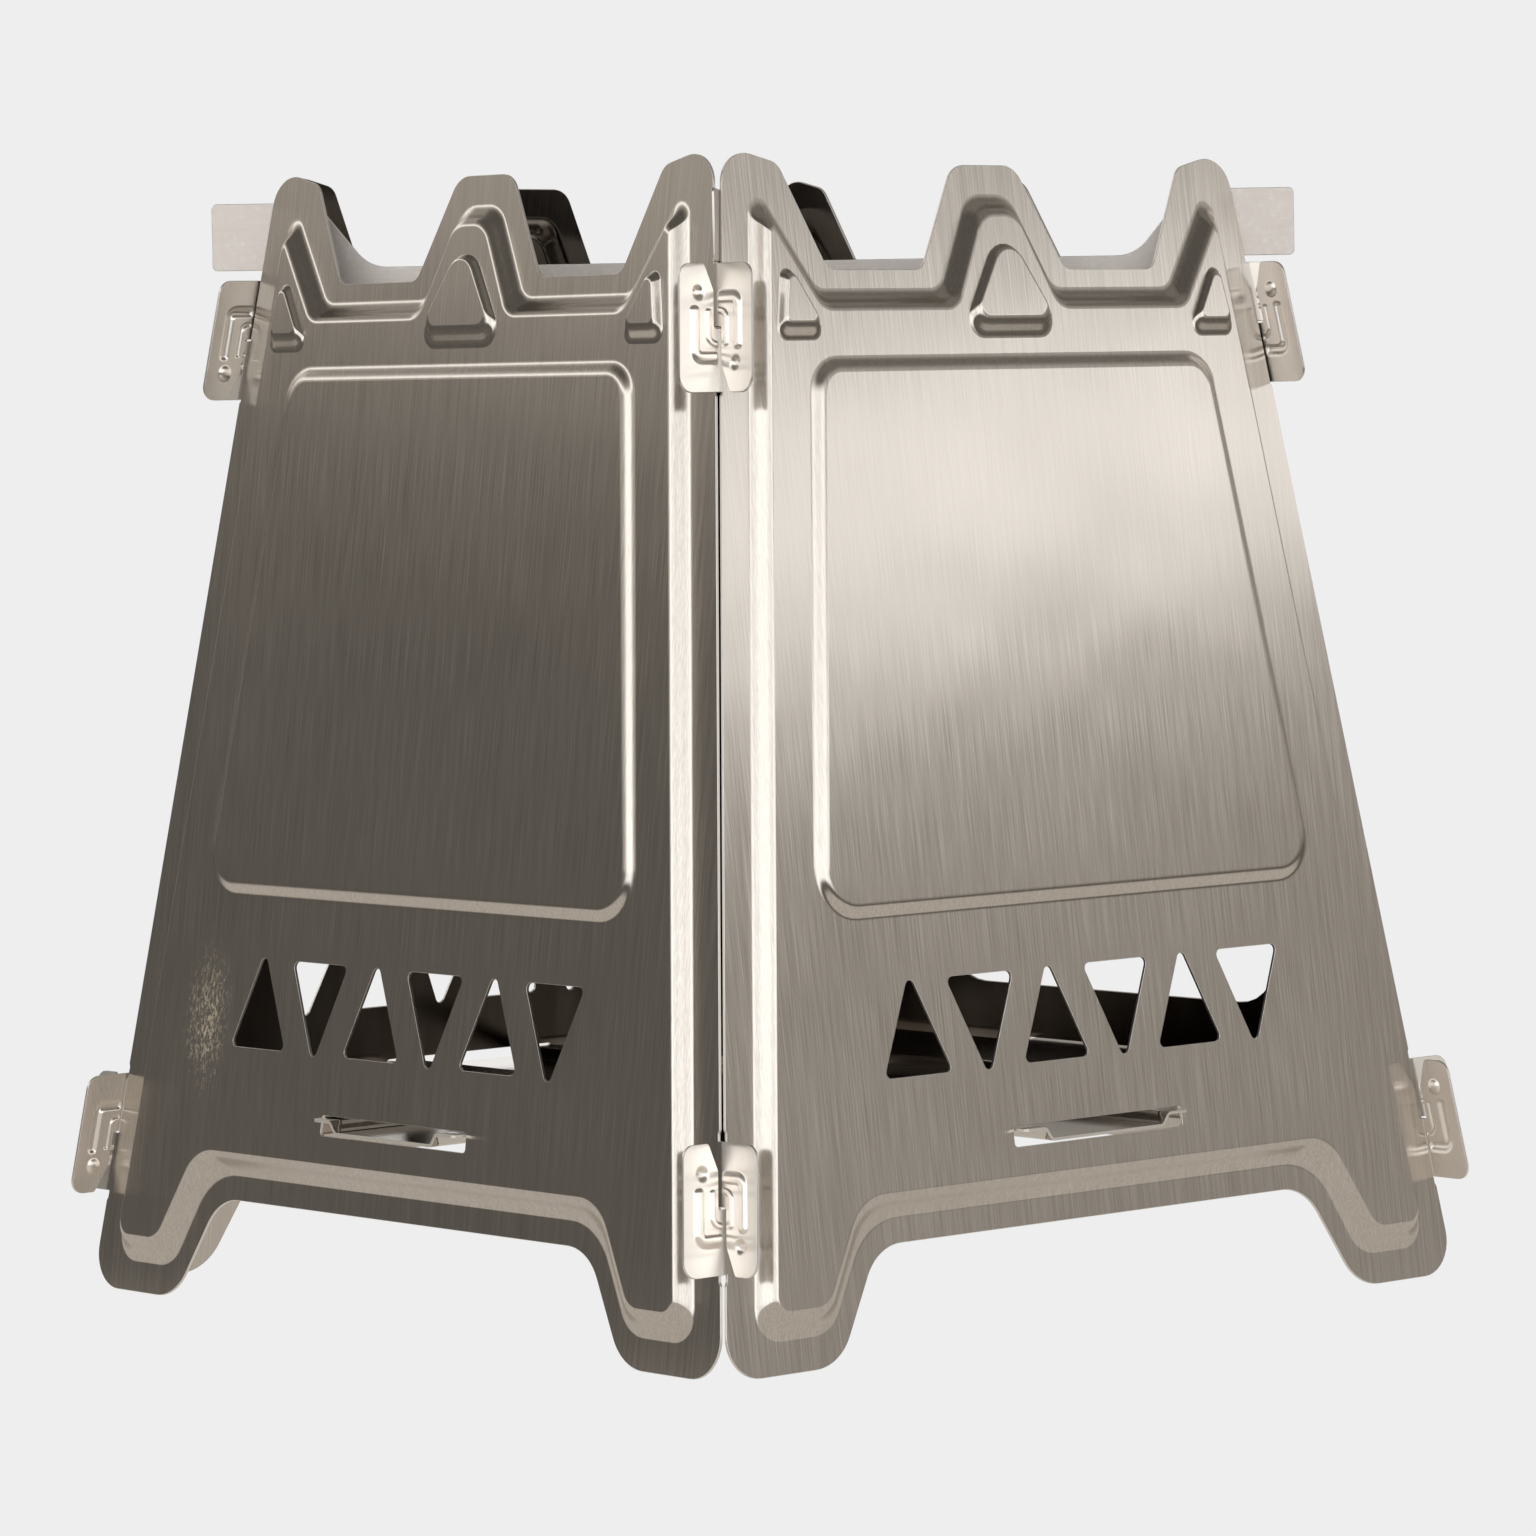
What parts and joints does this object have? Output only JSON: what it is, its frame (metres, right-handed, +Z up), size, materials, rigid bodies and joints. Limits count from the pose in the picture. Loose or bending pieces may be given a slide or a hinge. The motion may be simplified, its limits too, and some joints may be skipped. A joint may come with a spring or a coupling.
{
  "type": "twig stove",
  "caption": "Folding twig stove of leaning stamped steel panels with spiked crowns and air vents, hinged at the corners, with a base plate and crossed pot supports.",
  "frame": {"origin": "centre of the stove's footprint, on the ground", "axes": "+Z up, -Y out of the front panel (left-hand panel in the picture), +X out of the right panel"},
  "size_m": [0.1678, 0.1678, 0.1801],
  "materials": {
    "panel_steel": "upright brush grain, slightly warm, heat-toned in one spot",
    "base_steel": "bright pressed sheet, lightly scuffed",
    "support_steel": "pale matt sheet"
  },
  "bodies": {
    "stove_frame": {"front_panel": "panel_steel", "back_panel": "panel_steel", "base_plate": "base_steel"},
    "right_panel": {"right_panel": "panel_steel"},
    "left_panel": {"left_panel": "panel_steel"},
    "lower_pot_support": {"lower_pot_support": "support_steel"},
    "upper_pot_support": {"upper_pot_support": "support_steel"}
  },
  "joints": [
    {"name": "right_panel_hinge", "type": "hinge", "parent": "stove_frame", "child": "right_panel", "pos_m": [0.0786, -0.0786, 0.00003], "axis": [0.1328, -0.1328, -0.9822], "range_deg": [0, 45]},
    {"name": "left_panel_hinge", "type": "hinge", "parent": "stove_frame", "child": "left_panel", "pos_m": [-0.0786, 0.0786, 0.00003], "axis": [-0.1328, 0.1328, -0.9822], "range_deg": [0, 45]},
    {"name": "lower_pot_support_lift", "type": "slide", "parent": "stove_frame", "child": "lower_pot_support", "axis": [0, 0, 1], "range_m": [0, 0.04]},
    {"name": "upper_pot_support_lift", "type": "slide", "parent": "lower_pot_support", "child": "upper_pot_support", "axis": [0, 0, 1], "range_m": [0, 0.03]}
  ]
}
